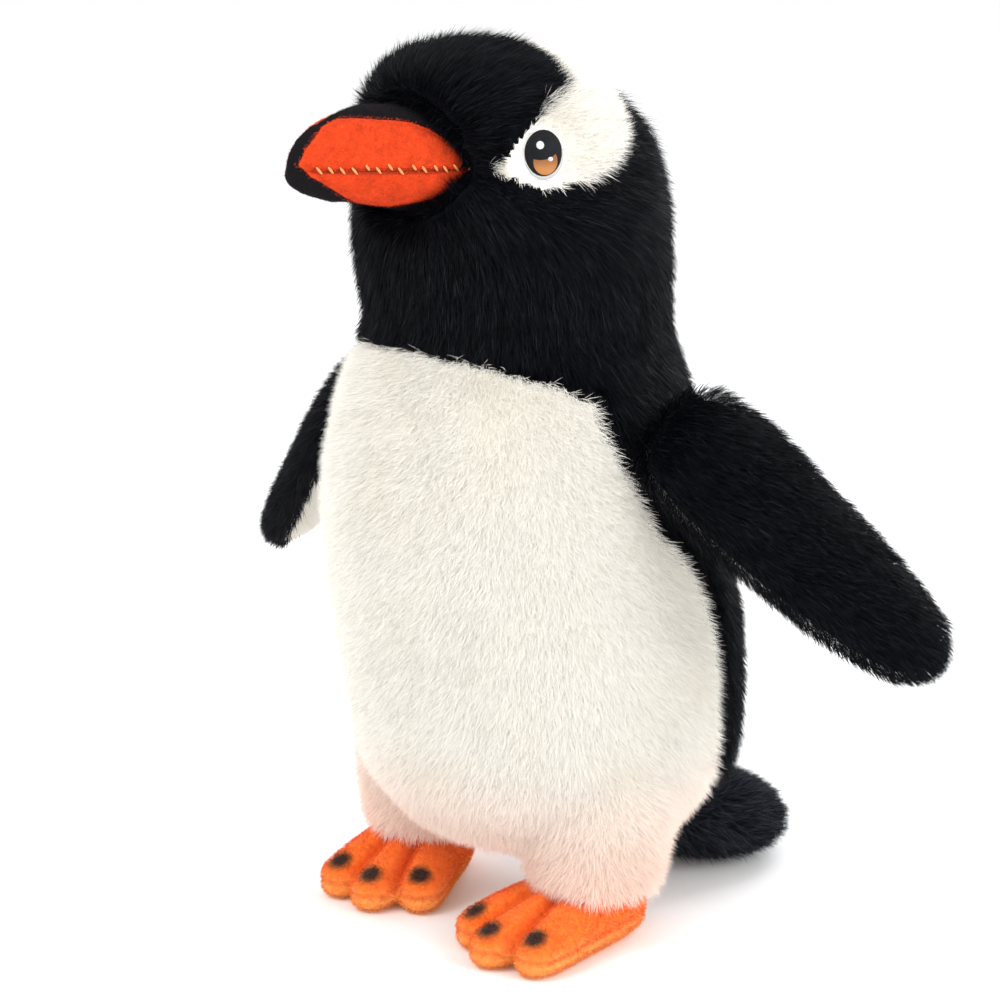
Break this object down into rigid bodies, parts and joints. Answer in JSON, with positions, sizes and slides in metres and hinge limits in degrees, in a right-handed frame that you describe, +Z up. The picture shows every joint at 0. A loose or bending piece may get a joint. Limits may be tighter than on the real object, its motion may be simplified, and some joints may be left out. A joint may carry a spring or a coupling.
{
  "type": "plush penguin",
  "caption": "Standing plush penguin with a turning head, hinged wings and tail, a curved felt beak, three-toed feet and a bean bag inside.",
  "frame": {"origin": "on the ground, under the middle of the whole toy's box", "axes": "+Z up, the penguin faces -Y, its left side is +X"},
  "size_m": [0.2316, 0.1604, 0.237],
  "materials": {
    "black_plush": "matte",
    "white_plush": "matte",
    "orange_felt": "matte",
    "black_felt": "matte",
    "orange_thread": "satin",
    "orange_plush": "matte",
    "sole_plush": "matte",
    "eye_black": "satin",
    "eye_brown": "satin",
    "eye_white": "satin",
    "fibre": "matte",
    "lining": "matte",
    "pellets": "matte"
  },
  "bodies": {
    "body": {"body_stuffing": "fibre", "belly_panel": "white_plush", "throat_panel": "black_plush", "base_panel": "white_plush", "back_left": "black_plush", "back_right": "black_plush", "pouch_top": "lining", "pouch_bottom": "lining", "pellets": "pellets", "leg_left": "white_plush", "leg_stuffing_left": "fibre", "leg_right": "white_plush", "leg_stuffing_right": "fibre", "foot_top_left": "orange_plush", "foot_sole_left": "sole_plush", "foot_stuffing_left": "fibre", "foot_top_right": "orange_plush", "foot_sole_right": "sole_plush", "foot_stuffing_right": "fibre"},
    "head": {"head_stuffing": "fibre", "crown_panel": "black_plush", "chin_panel": "black_plush", "beak_upper_left": "orange_felt", "beak_lower_left": "orange_felt", "mouth_stitching_left": "orange_thread", "beak_upper_right": "orange_felt", "beak_lower_right": "orange_felt", "mouth_stitching_right": "orange_thread", "beak_gusset": "black_felt", "beak_stuffing": "fibre", "head_side_left": "black_plush", "face_patch_left": "white_plush", "eye_pupil_left": "eye_black", "eye_iris_left": "eye_brown", "eye_highlight_left": "eye_white", "head_side_right": "black_plush", "face_patch_right": "white_plush", "eye_pupil_right": "eye_black", "eye_iris_right": "eye_brown", "eye_highlight_right": "eye_white"},
    "wing_left": {"wing_outer_left": "black_plush", "wing_inner_left": "white_plush", "wing_stuffing_left": "fibre"},
    "wing_right": {"wing_outer_right": "black_plush", "wing_inner_right": "white_plush", "wing_stuffing_right": "fibre"},
    "tail": {"tail_upper": "black_plush", "tail_lower": "black_plush", "tail_stuffing": "fibre"}
  },
  "joints": [
    {"name": "neck_turn", "type": "hinge", "parent": "body", "child": "head", "pos_m": [-0.00104, -0.00637, 0.167], "axis": [0, 0, 1], "range_deg": [-22, 38], "stiffness_Nm_per_rad": 0.2},
    {"name": "left_shoulder", "type": "hinge", "parent": "body", "child": "wing_left", "pos_m": [0.05256, -0.00337, 0.1415], "axis": [0, 0.9063, 0.4226], "range_deg": [-45, 20], "stiffness_Nm_per_rad": 0.15},
    {"name": "right_shoulder", "type": "hinge", "parent": "body", "child": "wing_right", "pos_m": [-0.05464, -0.00337, 0.1415], "axis": [0, 0.9397, 0.342], "range_deg": [-20, 45], "stiffness_Nm_per_rad": 0.15},
    {"name": "tail_lift", "type": "hinge", "parent": "body", "child": "tail", "pos_m": [0.00396, 0.03463, 0.0226], "axis": [0.9659, -0.2588, 0], "range_deg": [-3, 5], "stiffness_Nm_per_rad": 0.1}
  ]
}
